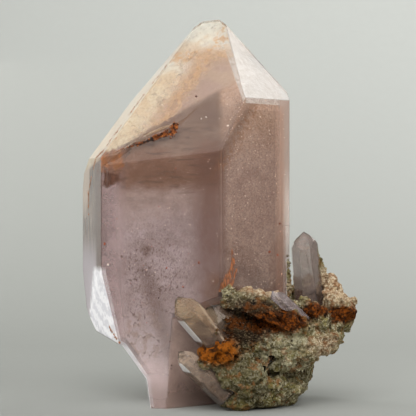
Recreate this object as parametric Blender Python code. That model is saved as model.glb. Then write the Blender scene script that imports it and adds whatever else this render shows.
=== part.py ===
"""A skeletal phantom amethyst point that stands on its own piece of matrix.

The big point is cleaved from a block with the planes of a real quartz crystal: six prism faces, six
rhombohedral faces, and the fractures of its broken foot. A thicker growth layer with a ragged lower ledge
caps the front, which is the skeletal growth. The younger crystal that it grew over is its phantom, a body of
its own with the same face angles, which comes out at the broken foot. Smaller quartz points and a rusty,
crumbly rock hold that foot.

Metres, +Z up, +X to the right, -Y towards the viewer. The origin is at the middle of the base.
"""

import math
import random

import bmesh
import bpy
from mathutils import Matrix, Vector, noise

MM = 0.001

# Quartz: a rhombohedral face's normal stands 38.2 degrees above the horizontal, whatever the crystal's size.
RHOMB_RISE = 38.2
FRONT_TURN = -15.4
FACE_STEP = 60.0

# The big point, in millimetres. Face distances are measured from the foot of its long axis. A tip face of 0
# is missing: the front one is given by a corner on it and its own azimuth and rise.
AXIS_FOOT = (-4.8, 12.5, 0.0)
PRISM_REACH = (14.0, 10.7, 12.5, 14.1, 11.6, 15.8)
TIP_REACH = (33.5, 0, 37.65, 39.6, 38.1, 35.8)
FRONT_CORNER = (3.75, 3.4, 45.2)
FRONT_SLOPE = (-21.5, 36.5)
BLOCK_SIDE = 160.0

# Chips and fractures: a point on each, and the azimuth and rise of its outward normal.
WORN = [
    ((-19.6, 19.0, 35.7), (-95, 33)),
    ((-20.8, 19.0, 32.5), (-95, 7)),
    ((-17.7, 5.0, 21.1), (-66, -11.6)),
    ((-20.4, 14.0, 14.3), (-92, -29)),
    ((-4.8, 23.6, 15.0), (168, -24)),
    ((-15.5, 19.5, 13.0), (-136, -27)),
]
BASE = ((0.0, 0.0, 0.0), (0, -90))
FOOT_CHIPS = {
    "left_chip": [
        ((-18.0, 8.0, 10.4), (-90, -70)),
        ((-14.5, 8.0, 9.3), (-87, -36)),
        ((-11.0, 8.0, 4.8), (-86, -8)),
    ],
    "front_chip": [((-7.65, 2.3, 0.0), (38, -4)), ((-7.6, 2.3, 12.6), (30, -62))],
}

# The phantom, in millimetres: how much quartz has grown over each of its prism faces, tip faces and slopes,
# and how much of that growth is left where the foot broke.
PRISM_GROWTH = (1.6, 1.2, 1.2, 1.5, 1.5, 1.5)
TIP_GROWTH = (3.0, 0, 2.0, 3.0, 3.0, 3.0)
SLOPE_GROWTH = 2.0
STEP_GROWTH = 1.2
FOOT_GROWTH = 1.1
POCKET_MOUTH = 1.0

# The skeletal growth on the front, in millimetres. The step is the face below the ragged ledge, through three
# points, and each outline (X, Z) is where a layer is missing. Each of its ragged runs is a ledge.
STEP_THROUGH = ((3.6, 3.7, 45.6), (0.3, 0.0, 37.35), (-16.95, 5.25, 36.15))
STEP_SUNK = 0.08
PLATE_SUNK = 0.16
LAYER_DEPTH = 12.0
LOWER_STEP = [
    (3.9, 47.6),
    (0.4, 45.5),
    (-2.9, 43.9),
    (-6.5, 40.9),
    (-8.9, 39.5),
    (-12.3, 38.6),
    (-14.0, 37.5),
    (-15.9, 36.1),
    (-17.3, 34.9),
    (-22.0, 34.0),
    (-22.0, 31.0),
    (8.0, 31.0),
]
UPPER_STEP = [
    (-13.2, 41.8),
    (-11.1, 39.7),
    (-6.0, 41.3),
    (-8.9, 38.0),
    (-12.3, 37.0),
    (-22.0, 33.0),
    (-20.0, 41.0),
]
HOLLOWS = {
    "ledge_crevice": ((-8.9, 4.7, 40.2), (2.5, 1.1, 0.28), 22.0),
}
WINDOWS = {
    "prism_window": ((-15.7, 4.45, 33.4), (2.3, 0.7, 2.3)),
}

# Clear gap between two pieces that touch.
GAP = 0.32

AMETHYST = (0.60, 0.47, 0.52, 1.0)
PHANTOM_MAUVE = (0.34, 0.24, 0.22, 1.0)
CLEAR_QUARTZ = (0.62, 0.56, 0.50, 1.0)
LILAC_QUARTZ = (0.60, 0.53, 0.56, 1.0)
ROCK = (0.36, 0.31, 0.22, 1.0)


def at(x, y, z):
    """A point or a size given in millimetres."""
    return Vector((x, y, z)) * MM


def outward(azimuth, rise=0.0):
    """A face normal. Azimuth 0 faces the viewer, 90 faces right; rise is its angle above the horizontal."""
    turn, lift = math.radians(azimuth), math.radians(rise)
    level = math.cos(lift)
    return Vector((math.sin(turn) * level, -math.cos(turn) * level, math.sin(lift)))


def clear_scene():
    for old in list(bpy.data.objects):
        bpy.data.objects.remove(old, do_unlink=True)


def new_collection(name):
    made = bpy.data.collections.new(name)
    bpy.context.scene.collection.children.link(made)
    return made


def material(name, colour, roughness, clear=0.0):
    made = bpy.data.materials.new(name)
    made.use_nodes = True
    made.diffuse_color = colour
    shader = made.node_tree.nodes["Principled BSDF"]
    shader.inputs["Base Color"].default_value = colour
    shader.inputs["Roughness"].default_value = roughness
    shader.inputs["Metallic"].default_value = 0.0
    shader.inputs["IOR"].default_value = 1.544
    shader.inputs["Transmission Weight"].default_value = clear
    return made


def add_object(name, shape, collection, finish=None):
    """Turns a bmesh into an object with its own mesh."""
    bmesh.ops.recalc_face_normals(shape, faces=shape.faces[:])
    mesh = bpy.data.meshes.new(name)
    shape.to_mesh(mesh)
    shape.free()
    made = bpy.data.objects.new(name, mesh)
    collection.objects.link(made)
    if finish is not None:
        mesh.materials.append(finish)
    return made


def as_helper(thing):
    thing.hide_render = True
    thing.display_type = "WIRE"
    return thing


def cleave(shape, planes):
    """Cuts a convex block with each plane (point, outward normal) in turn, and closes the cut."""
    for point, normal in planes:
        everything = shape.verts[:] + shape.edges[:] + shape.faces[:]
        cut = bmesh.ops.bisect_plane(
            shape, geom=everything, dist=1e-7, plane_co=point, plane_no=normal, clear_outer=True
        )
        rim = [item for item in cut["geom_cut"] if isinstance(item, bmesh.types.BMEdge)]
        if rim:
            bmesh.ops.edgeloop_fill(shape, edges=rim)
    return shape


def block(side, middle):
    shape = bmesh.new()
    bmesh.ops.create_cube(shape, size=side, matrix=Matrix.Translation(middle))
    return shape


def moved_out(planes, grow):
    return [(point + normal * grow, normal) for point, normal in planes]


def combine(base, others, operation):
    """Adds one exact Boolean for each of the other objects."""
    for other in others:
        step = base.modifiers.new(f"{operation.lower()} {other.name}", "BOOLEAN")
        step.solver = "EXACT"
        step.operation = operation
        step.object = other
    return base


def settle(thing):
    """Replaces an object's mesh by the evaluated one, so that its modifiers are done with."""
    bpy.context.view_layer.update()
    graph = bpy.context.evaluated_depsgraph_get()
    mesh = bpy.data.meshes.new_from_object(thing.evaluated_get(graph))
    thing.modifiers.clear()
    thing.data = mesh
    return thing


def keep_largest_body(thing):
    """Drops the crumbs that a cut leaves loose, and keeps the one big body."""
    shape = bmesh.new()
    shape.from_mesh(thing.data)
    bmesh.ops.remove_doubles(shape, verts=shape.verts[:], dist=2e-6)
    waiting, bodies = set(shape.verts), []
    while waiting:
        body, edge_of_body = set(), [waiting.pop()]
        while edge_of_body:
            vertex = edge_of_body.pop()
            body.add(vertex)
            for edge in vertex.link_edges:
                other = edge.other_vert(vertex)
                if other in waiting:
                    waiting.remove(other)
                    edge_of_body.append(other)
        bodies.append(body)
    bodies.sort(key=len)
    loose = [vertex for body in bodies[:-1] for vertex in body]
    bmesh.ops.delete(shape, geom=loose, context="VERTS")
    shape.to_mesh(thing.data)
    shape.free()
    return thing


# The big point


def front_slope():
    return at(*FRONT_CORNER), outward(*FRONT_SLOPE)


def crystal_planes(prism_reach, tip_reach):
    """The growth faces of the prism and of the tip, each as a point on it and its outward normal."""
    foot = at(*AXIS_FOOT)
    planes = []
    for index, (prism, tip) in enumerate(zip(prism_reach, tip_reach)):
        azimuth = FRONT_TURN + FACE_STEP * (index - 1)
        level, sloped = outward(azimuth), outward(azimuth, RHOMB_RISE)
        planes.append((foot + level * prism * MM, level))
        if tip:
            planes.append((foot + sloped * tip * MM, sloped))
    return planes


def worn_planes():
    """What is cut straight through: the rounded left shoulder and the fractures of the broken foot."""
    return [(at(*place), outward(*normal)) for place, normal in WORN]


def plane_through(first, second, third):
    """The plane through three points, with its normal towards the viewer."""
    normal = (second - first).cross(third - first).normalized()
    if normal.y > 0:
        normal.negate()
    return first, normal


def step_plane():
    return plane_through(*[at(*place) for place in STEP_THROUGH])


def wedge(name, planes, grow, collection):
    """A cutter: the space outside all of these planes of the crystal."""
    shape = block(BLOCK_SIDE * MM, at(0, 0, 0))
    cleave(shape, [(point + normal * grow, -normal) for point, normal in planes])
    return as_helper(add_object(name, shape, collection))


def outline_solid(name, corners, collection):
    """A flat outline in the XZ plane, thick along Y, that says where a growth layer was never laid down."""
    curve = bpy.data.curves.new(name, "CURVE")
    curve.dimensions = "2D"
    curve.fill_mode = "BOTH"
    curve.extrude = LAYER_DEPTH * MM
    spline = curve.splines.new("POLY")
    spline.points.add(len(corners) - 1)
    for point, (x, z) in zip(spline.points, corners):
        point.co = (x * MM, z * MM, 0.0, 1.0)
    spline.use_cyclic_u = True
    drawn = bpy.data.objects.new(name, curve)
    drawn.rotation_euler = (math.radians(90), 0, 0)
    collection.objects.link(drawn)
    bpy.context.view_layer.update()
    graph = bpy.context.evaluated_depsgraph_get()
    solid = bpy.data.objects.new(name, bpy.data.meshes.new_from_object(drawn.evaluated_get(graph)))
    solid.matrix_world = drawn.matrix_world
    bpy.data.objects.remove(drawn, do_unlink=True)
    collection.objects.link(solid)
    shape = bmesh.new()
    shape.from_mesh(solid.data)
    bmesh.ops.remove_doubles(shape, verts=shape.verts[:], dist=1e-6)
    bmesh.ops.recalc_face_normals(shape, faces=shape.faces[:])
    shape.to_mesh(solid.data)
    shape.free()
    return as_helper(solid)


def missing_layer(name, corners, plane, sunk, collection):
    """The cutter for a layer that was never laid down: all that lies outside a sunk plane, in an outline."""
    point, normal = plane
    beyond = wedge(name, [(point - normal * sunk * MM, normal)], 0.0, collection)
    outline = outline_solid(name + "_outline", corners, collection)
    return as_helper(settle(combine(beyond, [outline], "INTERSECT")))


def hollow(name, middle, half, turn, collection):
    """A small flat crevice or window: a squashed ball, turned in the plane of the front."""
    shape = bmesh.new()
    bmesh.ops.create_icosphere(shape, subdivisions=2, radius=1.0)
    place = Matrix.Translation(at(*middle)) @ Matrix.Rotation(math.radians(-turn), 4, "Y")
    size = Matrix.Diagonal([side * MM for side in half] + [1.0])
    bmesh.ops.transform(shape, matrix=place @ size, verts=shape.verts[:])
    return as_helper(add_object(name, shape, collection))


def window(name, middle, size, collection):
    """A square skeletal window, sunk in the front prism face."""
    shape = bmesh.new()
    bmesh.ops.create_cube(shape, size=1.0)
    place = Matrix.Translation(at(*middle)) @ Matrix.Rotation(math.radians(FRONT_TURN), 4, "Z")
    size = Matrix.Diagonal([side * MM for side in size] + [1.0])
    bmesh.ops.transform(shape, matrix=place @ size, verts=shape.verts[:])
    return as_helper(add_object(name, shape, collection))


def chipped(name, planes, grow, collection, cutters, finish):
    """A point cleaved by these planes, less the two chips of its foot. grow moves what the chips leave out."""
    hull = block(BLOCK_SIDE * MM, at(*AXIS_FOOT))
    cleave(hull, planes)
    point = add_object(name, hull, collection, finish)
    chips = [
        wedge(f"{name}_{label}", [(at(*place), outward(*normal)) for place, normal in rows], grow, cutters)
        for label, rows in FOOT_CHIPS.items()
    ]
    return settle(combine(point, chips, "DIFFERENCE"))


def base_plane(drop=0.0):
    place, normal = BASE
    return at(*place) + outward(*normal) * drop * MM, outward(*normal)


def whole_point(name, grow, collection, cutters, finish=None):
    """The point with its broken foot. grow moves every face out, for the pocket that it leaves in the rock."""
    planes = crystal_planes(PRISM_REACH, TIP_REACH) + [front_slope(), base_plane()] + worn_planes()
    return chipped(name, moved_out(planes, grow), grow, collection, cutters, finish)


def young_point(name, grow, mouth, collection, cutters, finish=None):
    """The phantom: the point before its last growth. grow and mouth widen it for the pocket that holds it."""
    prism = [reach - growth for reach, growth in zip(PRISM_REACH, PRISM_GROWTH)]
    tip = [reach - growth for reach, growth in zip(TIP_REACH, TIP_GROWTH)]
    slopes = moved_out([front_slope()], -SLOPE_GROWTH * MM) + moved_out([step_plane()], -STEP_GROWTH * MM)
    foot = moved_out(worn_planes(), -FOOT_GROWTH * MM)
    planes = moved_out(crystal_planes(prism, tip) + slopes + foot, grow) + [base_plane(mouth)]
    return chipped(name, planes, grow - FOOT_GROWTH * MM, collection, cutters, finish)


def skeletal_point(collection, cutters, finish):
    """The point as it grew over the phantom: ragged ledges, and the crevices that its layers left open."""
    point = whole_point("amethyst_point", 0.0, collection, cutters, finish)
    pocket = as_helper(young_point("phantom_pocket", GAP * MM, POCKET_MOUTH, cutters, cutters))
    cuts = [
        pocket,
        missing_layer("lower_step", LOWER_STEP, step_plane(), STEP_SUNK, cutters),
        missing_layer("upper_step", UPPER_STEP, front_slope(), PLATE_SUNK, cutters),
    ]
    cuts += [hollow(label, *row, cutters) for label, row in HOLLOWS.items()]
    cuts += [window(label, *row, cutters) for label, row in WINDOWS.items()]
    return keep_largest_body(settle(combine(point, cuts, "DIFFERENCE")))


# The small points


def quartz_point(name, foot, tip, width, depth, turn, seed, grow, collection):
    """A small quartz crystal from its foot to its tip, with uneven faces as real ones have."""
    chance = random.Random(seed)
    start, end = at(*foot), at(*tip)
    length = (end - start).length
    shape = block(BLOCK_SIDE * MM, at(0, 0, 0))
    planes = [(Vector((0, 0, 0)), Vector((0, 0, -1)))]
    for index in range(6):
        azimuth = turn + FACE_STEP * index
        level = outward(azimuth, 1.5)
        flat = abs(math.cos(math.radians(azimuth)))
        reach = (depth * flat + width * (1 - flat)) / 2 * chance.uniform(0.88, 1.08)
        sloped = outward(azimuth, RHOMB_RISE)
        tip_drop = length * math.sin(math.radians(RHOMB_RISE)) * chance.uniform(0.97, 1.06)
        if index % 2:
            tip_drop *= 0.965
        planes.append((level * reach * MM, level))
        planes.append((sloped * tip_drop, sloped))
    cleave(shape, moved_out(planes, grow))
    aim = (end - start).to_track_quat("Z", "Y").to_matrix().to_4x4()
    bmesh.ops.transform(shape, matrix=Matrix.Translation(start) @ aim, verts=shape.verts[:])
    return add_object(name, shape, collection)


# Name: foot, tip, width, depth (all mm), turn of the faces, seed. Each row is one small point.
FRONT_CLUSTER = {
    "front": ((1.8, 0.9, 7.2), (-6.4, -0.6, 16.3), 4.8, 4.4, 8, 3),
    "middle": ((6.6, 2.4, 6.9), (-1.9, 0.6, 15.7), 6.4, 5.4, 4, 8),
}
LOWER_POINT = ((1.2, 0.0, 2.0), (-6.1, -0.3, 8.6), 3.4, 3.2, 20, 5)
REAR_POINT = ((13.9, 9.4, 9.5), (12.3, 8.9, 25.9), 4.4, 4.4, 12, 11)
BLADE_POINT = ((12.2, 1.6, 12.4), (7.3, 1.0, 17.3), 1.6, 2.2, 0, 17)


def cluster(name, rows, grow, collection, cutters, finish=None):
    """Small points that grew into each other, joined in one solid."""
    made = [
        quartz_point(f"{name}_{label}", *row, grow, cutters)
        for label, row in rows.items()
    ]
    first, *rest = made
    for other in made:
        as_helper(other)
    base = first.copy()
    base.data = first.data.copy()
    base.name = name
    base.hide_render = False
    base.display_type = "TEXTURED"
    collection.objects.link(base)
    if finish is not None:
        base.data.materials.clear()
        base.data.materials.append(finish)
    combine(base, rest, "UNION")
    return settle(base)


# The rock


def rock_block(name, middle, size, turn, seed, cuts, collection):
    """An angular piece of broken rock: a box whose corners and edges are knocked off by random planes."""
    chance = random.Random(seed)
    shape = bmesh.new()
    bmesh.ops.create_cube(shape, size=2.0)
    planes = []
    for _ in range(cuts):
        normal = Vector([chance.uniform(-1, 1) for _ in range(3)]).normalized()
        planes.append((normal * chance.uniform(0.86, 1.12), normal))
    cleave(shape, planes)
    place = Matrix.Translation(at(*middle))
    for degrees, axis in zip(turn, "XYZ"):
        place = place @ Matrix.Rotation(math.radians(degrees), 4, axis)
    half = [side / 2 * MM for side in size]
    bmesh.ops.transform(shape, matrix=place @ Matrix.Diagonal((*half, 1.0)), verts=shape.verts[:])
    return as_helper(add_object(name, shape, collection))


def rock_lump(name, middle, size, seed, collection):
    """A crumbly lump: a ball whose points are pushed in and out by noise."""
    shape = bmesh.new()
    bmesh.ops.create_icosphere(shape, subdivisions=3, radius=1.0)
    shift = Vector((seed * 3.7, seed * 1.3, seed * 2.1))
    for vertex in shape.verts:
        coarse = noise.noise(vertex.co * 1.6 + shift)
        fine = noise.noise(vertex.co * 4.2 + shift)
        vertex.co *= 1.0 + 0.18 * coarse + 0.11 * fine
    half = [side / 2 * MM for side in size]
    place = Matrix.Translation(at(*middle)) @ Matrix.Diagonal((*half, 1.0))
    bmesh.ops.transform(shape, matrix=place, verts=shape.verts[:])
    return as_helper(add_object(name, shape, collection))


# Middle, size (mm), turn about X, Y, Z (degrees), seed, number of knocked-off planes.
BLOCKS = {
    "front_crest": ((6.4, 1.6, 14.8), (12.8, 7.2, 3.6), (14, 21, 4), 21, 16),
    "front_crest_end": ((10.0, 0.6, 12.7), (4.8, 5.0, 3.4), (-8, 12, 20), 22, 14),
    "second_crest": ((13.6, 4.6, 13.0), (5.8, 6.6, 4.0), (6, 24, -12), 23, 14),
    "right_block": ((17.2, 9.6, 13.7), (5.6, 8.0, 5.4), (4, 14, 8), 24, 15),
    "right_shoulder": ((15.4, 12.0, 16.2), (5.4, 6.8, 6.0), (10, 48, -10), 25, 15),
    "rust_seat": ((-0.2, -0.5, 8.6), (6.4, 5.0, 3.2), (6, -28, -8), 27, 14),
    "behind_point": ((8.6, 17.6, 8.8), (11.0, 9.5, 11.0), (0, 10, 24), 28, 16),
    "back_ledge": ((3.0, 22.0, 5.2), (12.0, 6.4, 8.4), (-12, 4, -8), 29, 15),
    "back_spur": ((12.8, 15.4, 14.4), (5.2, 6.0, 6.6), (10, -22, 30), 30, 14),
}
LUMPS = {
    "foot_lump": ((5.4, 8.6, 2.4), (14.0, 18.5, 7.4), 31),
    "middle_lump": ((8.2, 4.2, 9.4), (14.0, 12.0, 8.6), 32),
    "under_right": ((14.4, 8.4, 9.9), (8.2, 10.0, 5.4), 33),
    "right_lump": ((16.2, 9.8, 13.4), (7.6, 9.0, 5.8), 34),
    "front_lump": ((2.8, 0.4, 4.6), (9.0, 7.0, 8.8), 35),
    "crest_nub": ((1.2, 0.8, 16.5), (3.2, 3.4, 3.0), 37),
    "back_lump": ((6.8, 16.4, 4.4), (15.0, 13.5, 9.6), 36),
}

# Small points fused to the rock: place on it, direction, length and width (mm), seed.
FUSED_POINTS = [
    ((14.8, 5.6, 12.0), (0.5, -0.5, 1.0), 4.4, 1.7, 41),
    ((12.6, 17.4, 14.6), (0.3, 0.5, 1.0), 6.4, 2.6, 43),
    ((8.2, 20.4, 12.4), (0.0, 0.7, 1.0), 5.8, 2.4, 44),
    ((15.4, 17.0, 12.4), (0.9, 0.6, 0.6), 5.0, 2.2, 45),
    ((2.4, 24.0, 7.8), (-0.3, 0.9, 0.8), 4.6, 2.0, 46),
    ((6.6, -2.2, 10.0), (-0.2, -1.0, 0.5), 3.0, 1.6, 48),
    ((9.8, -1.4, 6.8), (0.3, -1.0, 0.1), 3.0, 1.5, 49),
    ((3.6, -1.6, 4.6), (-0.5, -0.9, 0.2), 3.2, 1.6, 50),
    ((1.6, 1.0, 15.2), (-0.8, -0.3, 0.7), 2.6, 1.3, 51),
    ((13.6, 2.4, 10.4), (0.6, -0.8, 0.3), 3.2, 1.7, 52),
    ((10.8, 20.6, 8.2), (0.4, 0.9, 0.3), 4.8, 2.2, 53),
]


def fused_points(collection):
    made = []
    for place, aim, length, width, seed in FUSED_POINTS:
        direction = Vector(aim).normalized()
        foot = Vector(place) - direction * 1.5
        tip = Vector(place) + direction * (length - 1.5)
        small = quartz_point(
            f"fused_point_{seed}", foot, tip, width, width * 0.9, seed * 7, seed, 0.0, collection
        )
        made.append(as_helper(small))
    return made


def rock(collection, cutters, pockets, finish):
    """The matrix: blocks, lumps and small points joined in one solid, then hollowed for what it holds."""
    pieces = [rock_lump(name, *row, cutters) for name, row in LUMPS.items()]
    pieces += [rock_block(name, *row, cutters) for name, row in BLOCKS.items()]
    pieces += fused_points(cutters)
    first = pieces[0].copy()
    first.data = pieces[0].data.copy()
    first.name = "matrix"
    first.hide_render = False
    first.display_type = "TEXTURED"
    first.data.materials.append(finish)
    collection.objects.link(first)
    joined = settle(combine(first, pieces[1:], "UNION"))
    floor = wedge("floor_cutter", [(at(0, 0, 0), Vector((0, 0, -1)))], 0.0, cutters)
    hollowed = settle(combine(joined, [floor, *pockets], "DIFFERENCE"))
    return keep_largest_body(hollowed)


def seat(thing, pockets):
    """Cuts a small point back to the pocket of the big one that it grew against."""
    return keep_largest_body(settle(combine(thing, pockets, "DIFFERENCE")))


def centre_on_base(things):
    """Moves every piece alike, so that the origin is at the middle of the whole object's base."""
    corners = [thing.matrix_world @ vertex.co for thing in things for vertex in thing.data.vertices]
    low = Vector([min(corner[axis] for corner in corners) for axis in range(3)])
    high = Vector([max(corner[axis] for corner in corners) for axis in range(3)])
    shift = Vector((-(low.x + high.x) / 2, -(low.y + high.y) / 2, -low.z))
    for thing in things:
        thing.data.transform(Matrix.Translation(shift))
    print("shift to the base's middle, mm:", [round(value / MM, 3) for value in shift])


def main():
    clear_scene()
    parts = new_collection("amethyst_specimen")
    cutters = new_collection("cutters")
    amethyst = material("amethyst", AMETHYST, 0.08, clear=0.7)
    phantom_haze = material("phantom_haze", PHANTOM_MAUVE, 0.6)
    clear_quartz = material("clear_quartz", CLEAR_QUARTZ, 0.08, clear=0.7)
    lilac_quartz = material("lilac_quartz", LILAC_QUARTZ, 0.10, clear=0.6)
    rock_finish = material("rock", ROCK, 0.85)

    point = skeletal_point(parts, cutters, amethyst)
    phantom = young_point("phantom", 0.0, 0.0, parts, cutters, phantom_haze)
    pocket = as_helper(whole_point("pocket", GAP * MM, cutters, cutters))

    front = seat(cluster("front_side_crystals", FRONT_CLUSTER, 0.0, parts, cutters, clear_quartz), [pocket])
    lower = seat(cluster("lower_side_crystal", {"one": LOWER_POINT}, 0.0, parts, cutters, clear_quartz), [pocket])
    rear = seat(cluster("rear_side_crystal", {"one": REAR_POINT}, 0.0, parts, cutters, clear_quartz), [pocket])
    blade = seat(cluster("blade_crystal", {"one": BLADE_POINT}, 0.0, parts, cutters, lilac_quartz), [pocket])

    pockets = [pocket]
    for label, rows in (
        ("front_pocket", FRONT_CLUSTER),
        ("lower_pocket", {"one": LOWER_POINT}),
        ("rear_pocket", {"one": REAR_POINT}),
        ("blade_pocket", {"one": BLADE_POINT}),
    ):
        pockets.append(as_helper(cluster(label, rows, GAP * MM, cutters, cutters)))
    stone = rock(parts, cutters, pockets, rock_finish)
    centre_on_base([point, phantom, front, lower, rear, blade, stone])


main()
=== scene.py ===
# %% [markdown]
# # A skeletal phantom amethyst point
#
# The specimen is one big quartz crystal on a lump of rusty rock. It is clear, but not glassy: an older,
# smoky crystal hangs inside it like a ghost, which is the phantom, and a fine milky haze fills the growth
# outside. The lesson builds the studio first, then the clear skin, what hangs inside it, and the rock.

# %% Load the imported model
import math
import random

import bmesh
import bpy
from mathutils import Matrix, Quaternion, Vector, noise
from mathutils.bvhtree import BVHTree


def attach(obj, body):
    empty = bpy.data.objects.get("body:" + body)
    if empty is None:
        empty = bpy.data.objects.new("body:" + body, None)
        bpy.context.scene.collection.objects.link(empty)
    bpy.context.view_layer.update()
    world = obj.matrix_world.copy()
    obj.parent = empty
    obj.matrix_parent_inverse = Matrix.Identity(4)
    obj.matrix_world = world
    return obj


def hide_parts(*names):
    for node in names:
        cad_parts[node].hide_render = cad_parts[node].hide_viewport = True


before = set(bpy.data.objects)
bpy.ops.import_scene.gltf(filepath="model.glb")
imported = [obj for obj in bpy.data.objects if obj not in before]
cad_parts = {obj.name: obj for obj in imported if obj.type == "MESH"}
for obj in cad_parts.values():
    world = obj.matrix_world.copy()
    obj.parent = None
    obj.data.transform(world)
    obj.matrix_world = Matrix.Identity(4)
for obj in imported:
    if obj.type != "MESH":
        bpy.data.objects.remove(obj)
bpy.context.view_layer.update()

MM = 0.001

# %% [markdown]
# ## Where things are
#
# A mineral photographer would line everything up on the sharp front edge of the crystal, between its two
# front faces, so the scene does too. All places below are millimetres from a datum on that edge: X to the
# right, Y away from the viewer and Z up from the table.

# %% The datum on the front edge
FRONT_EDGE_X = 0.35


def front_edge_of(node):
    """The foot of the crystal's nearest upright edge: the middle of the corners furthest forward."""
    corners = [vertex.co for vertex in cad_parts[node].data.vertices]
    nearest = min(corner.y for corner in corners)
    edge = [corner.x for corner in corners if corner.y < nearest + 0.02 * MM]
    return Vector((sum(edge) / len(edge), nearest, 0))


DATUM = front_edge_of("amethyst_point") - Vector((FRONT_EDGE_X * MM, 0, 0))


def at(x, y, z):
    """A place in millimetres from the datum."""
    return DATUM + Vector((x, y, z)) * MM


def outward(azimuth, rise=0.0):
    """A face normal. Azimuth 0 faces the viewer, 90 faces right; rise is its angle above the horizontal."""
    turn, lift = math.radians(azimuth), math.radians(rise)
    level = math.cos(lift)
    return Vector((math.sin(turn) * level, -math.cos(turn) * level, math.sin(lift)))


print("datum, mm:", [round(value / MM, 2) for value in DATUM])

# %% [markdown]
# ## Mixing finishes
#
# Every finish is a tree of nodes that reads the place on the specimen. A small helper keeps the recipes
# short: each of its methods adds one node and gives back what comes out of it, so a recipe reads like a
# sentence. Colours are typed as they look on a screen, from 0 to 255, and turned into light by paint().

# %% A helper for recipes


def paint(red, green, blue):
    """A screen colour as the linear light that Blender mixes."""
    channels = []
    for value in (red, green, blue):
        share = value / 255
        channels.append(share / 12.92 if share <= 0.04045 else ((share + 0.055) / 1.055) ** 2.4)
    return (*channels, 1.0)


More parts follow.
